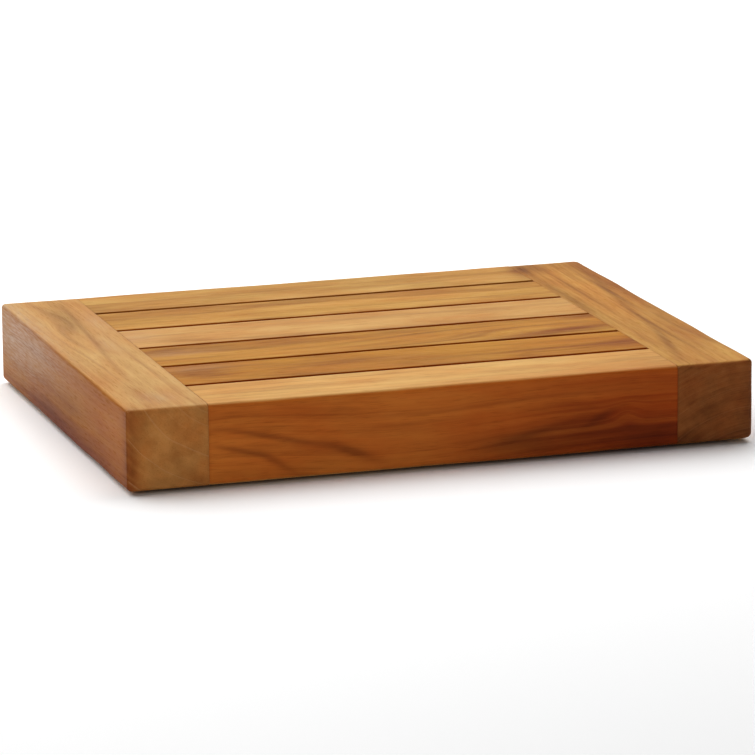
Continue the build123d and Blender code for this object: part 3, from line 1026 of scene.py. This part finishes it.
def makeScrew(name, headRadius, length):
    # points up, standing on the middle of its head at the origin
    screw = screws[name]
    start = screw["plain"]
    step = screw["pitch"] / screws["rowsPerPitch"]
    rows = [(screw["root"], h) for h in np.arange(start, length - step, step)]
    profile = screwHead(screw, headRadius) + [(screw["shank"], start - step)] + rows + [(0, length)]
    points, faces = latheShell(profile, screws["segments"])
    angle = np.arctan2(points[:, 1], points[:, 0])
    radius, height = np.hypot(points[:, 0], points[:, 1]), points[:, 2]
    threaded = (height >= start - step / 2) & (radius > 0)
    phase = (height / screw["pitch"] - angle / (2 * math.pi)) % 1
    ridge = np.clip(1 - np.abs(phase - 0.5) / screws["crestWidth"], 0, 1)
    crest = ridge * (screw["crest"] - screw["root"])
    runIn = np.clip((height - start) / screw["pitch"], 0, 1)
    taper = np.clip((length - height) / screw["point"], screws["tipShare"], 1)
    full = (screw["root"] + crest * runIn) * taper
    points[:, :2] *= np.where(threaded, full / np.maximum(radius, 1e-6), 1)[:, None]
    made = newPiece("screw", newMesh("screw", [(points, faces)]))

    # the cross recess
    wide, thin, deep = headRadius * screws["recessShare"], screws["recessWidth"] / 2, screws["recessDepth"]
    for across, along in ((wide, thin), (thin, wide)):
        slot = block((-across, -along, -joinery["outside"]), (across, along, deep))
        tip = slot[0][:, 2] > 0
        slot[0][tip, :2] *= screws["recessTaper"]
        carve(made, [slot], "DIFFERENCE")
    points = np.array([vertex.co for vertex in made.data.vertices]) / mm
    faces = [tuple(face.vertices) for face in made.data.polygons]
    bpy.data.objects.remove(made)
    return points, faces


def placeScrews(name, shell, places):
    points, faces = shell
    mesh = newMesh(name, [(points + np.array(place), faces) for place in places])
    piece = newPiece(name + "_steel", mesh)
    mesh.shade_smooth()
    mesh.set_sharp_from_angle(angle=math.radians(screws["sharpest"]))
    finishPiece(piece, name, steel)


def makeBattenScrews():
    shell = None
    for side in ("left", "right"):
        middle, half = middleOf("batten_screws_" + side)
        shell = shell or makeScrew("batten", half.x, 2 * half.z)
        places = [(x, y, middle.z - half.z) for x, y in screwPlaces("batten_" + side)]
        placeScrews("batten_screws_" + side, shell, places)


# Feet, in millimetres, each measured from the foot's own box.
feet = {
    "tread": 13.0,  # radius on the floor
    "treadRound": 0.8,
    "roundStep": 15,  # degrees
    "well": 7.0,
    "wellTop": 3.8,
    "bore": 2.2,
    "exposed": 3.0,  # below the wood
    "flare": 0.5,  # the height over which its side turns upright
    "chamfer": 0.3,
    "smallChamfer": 0.2,
    "ribs": (8.6, 10.0, 11.4),  # radii of the grip grooves in the tread
    "ribDepth": 0.45,
    "ribMouth": 0.35,  # half widths of a groove, at the tread and at its bottom
    "ribFloor": 0.15,
    "segments": 72,
    "sharpest": 35.0,  # degrees
}


def makeFoot(node):
    middle, half = middleOf(node)
    top, base = 2 * half.z, half.x
    well, wellTop, edge = feet["well"], feet["wellTop"], feet["chamfer"]
    profile = [(feet["bore"], top), (feet["bore"], wellTop), (well - edge, wellTop)]
    profile += [(well, wellTop - edge), (well, edge), (well + edge, 0)]
    mouth, bottom, depth = feet["ribMouth"], feet["ribFloor"], feet["ribDepth"]
    for rib in feet["ribs"]:
        profile += [(rib - mouth, 0), (rib - bottom, depth), (rib + bottom, depth), (rib + mouth, 0)]
    corner = feet["treadRound"]
    for degrees in range(0, 76, feet["roundStep"]):
        a = math.radians(degrees)
        profile.append((feet["tread"] - corner + corner * math.sin(a), corner * (1 - math.cos(a))))
    small, exposed = feet["smallChamfer"], feet["exposed"]
    profile += [(base - small, exposed - feet["flare"]), (base, exposed - small)]
    profile += [(base, top - edge), (base - edge, top)]
    points, faces = latheShell(profile, feet["segments"])
    mesh = newMesh(node, [(points + np.array((middle.x, middle.y, middle.z - half.z)), faces)])
    piece = newPiece(node + "_rubber", mesh)
    mesh.shade_smooth()
    mesh.set_sharp_from_angle(angle=math.radians(feet["sharpest"]))
    finishPiece(piece, node, rubber)


makeBattenScrews()
footScrew = None
for end in ("front", "back"):
    for side in ("left", "right"):
        corner = end + "_" + side
        makeFoot("foot_" + corner)
        middle, half = middleOf("foot_screw_" + corner)
        footScrew = footScrew or makeScrew("foot", half.x, 2 * half.z)
        placeScrews("foot_screw_" + corner, footScrew, [(middle.x, middle.y, middle.z - half.z)])
        dowels = ["dowel_" + corner + "_" + level for level in ("upper", "lower")]
        for node, material in (("washer_" + corner, steel), (dowels[0], beech), (dowels[1], beech)):
            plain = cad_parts[node].data
            plain.materials.clear()
            plain.materials.append(material)
print("screws, feet, washers and dowels finished")


# Studio: a white floor, a wide soft light overhead and a little behind, and dim white walls all round.
studio = {
    "floorColour": "#fafafa",
    "floorRoughness": 0.8,
    "floorSize": 16.0,  # metres
    "wallLight": 0.2,
    "contrast": 0.87,  # under 1 deepens the darker tones, as a product print does
    "lights": {
        "ceilingLight": {
            "place": (-0.6, 2.4, 2.6),
            "towards": (-0.6, 2.4, 0),
            "size": (6.0, 5.4),
            "power": 260.0,  # watts
        },
        "frontLight": {
            "place": (-2.0, -2.2, 1.1),
            "towards": (0, 0, 0),
            "size": (1.2, 1.2),
            "power": 14.0,
        },
    },
}


def makeStudio():
    half = studio["floorSize"] / 2
    mesh = bpy.data.meshes.new("studioFloor")
    corners = [(-half, -half, 0), (half, -half, 0), (half, half, 0), (-half, half, 0)]
    mesh.from_pydata(corners, [], [(0, 1, 2, 3)])
    floor = newPiece("studioFloor", mesh)
    paint = bpy.data.materials.new("paintedFloor")
    paint.use_nodes = True
    surface = paint.node_tree.nodes["Principled BSDF"].inputs
    surface["Base Color"].default_value = toLinear(studio["floorColour"])
    surface["Roughness"].default_value = studio["floorRoughness"]
    mesh.materials.append(paint)
    world = bpy.data.worlds.new("studioWalls")
    world.use_nodes = True
    walls = world.node_tree.nodes["Background"].inputs
    walls["Color"].default_value = (1, 1, 1, 1)
    walls["Strength"].default_value = studio["wallLight"]
    bpy.context.scene.world = world
    for name, light in studio["lights"].items():
        data = bpy.data.lights.new(name, "AREA")
        data.shape = "RECTANGLE"
        data.energy = light["power"]
        data.size, data.size_y = light["size"]
        lamp = bpy.data.objects.new(name, data)
        lamp.location = light["place"]
        aim = Vector(light["towards"]) - Vector(light["place"])
        lamp.rotation_euler = aim.to_track_quat("-Z", "Y").to_euler()
        bpy.context.scene.collection.objects.link(lamp)
    bpy.context.scene.view_settings.view_transform = "Standard"
    bpy.context.scene.view_settings.gamma = studio["contrast"]


makeStudio()
print("studio made")
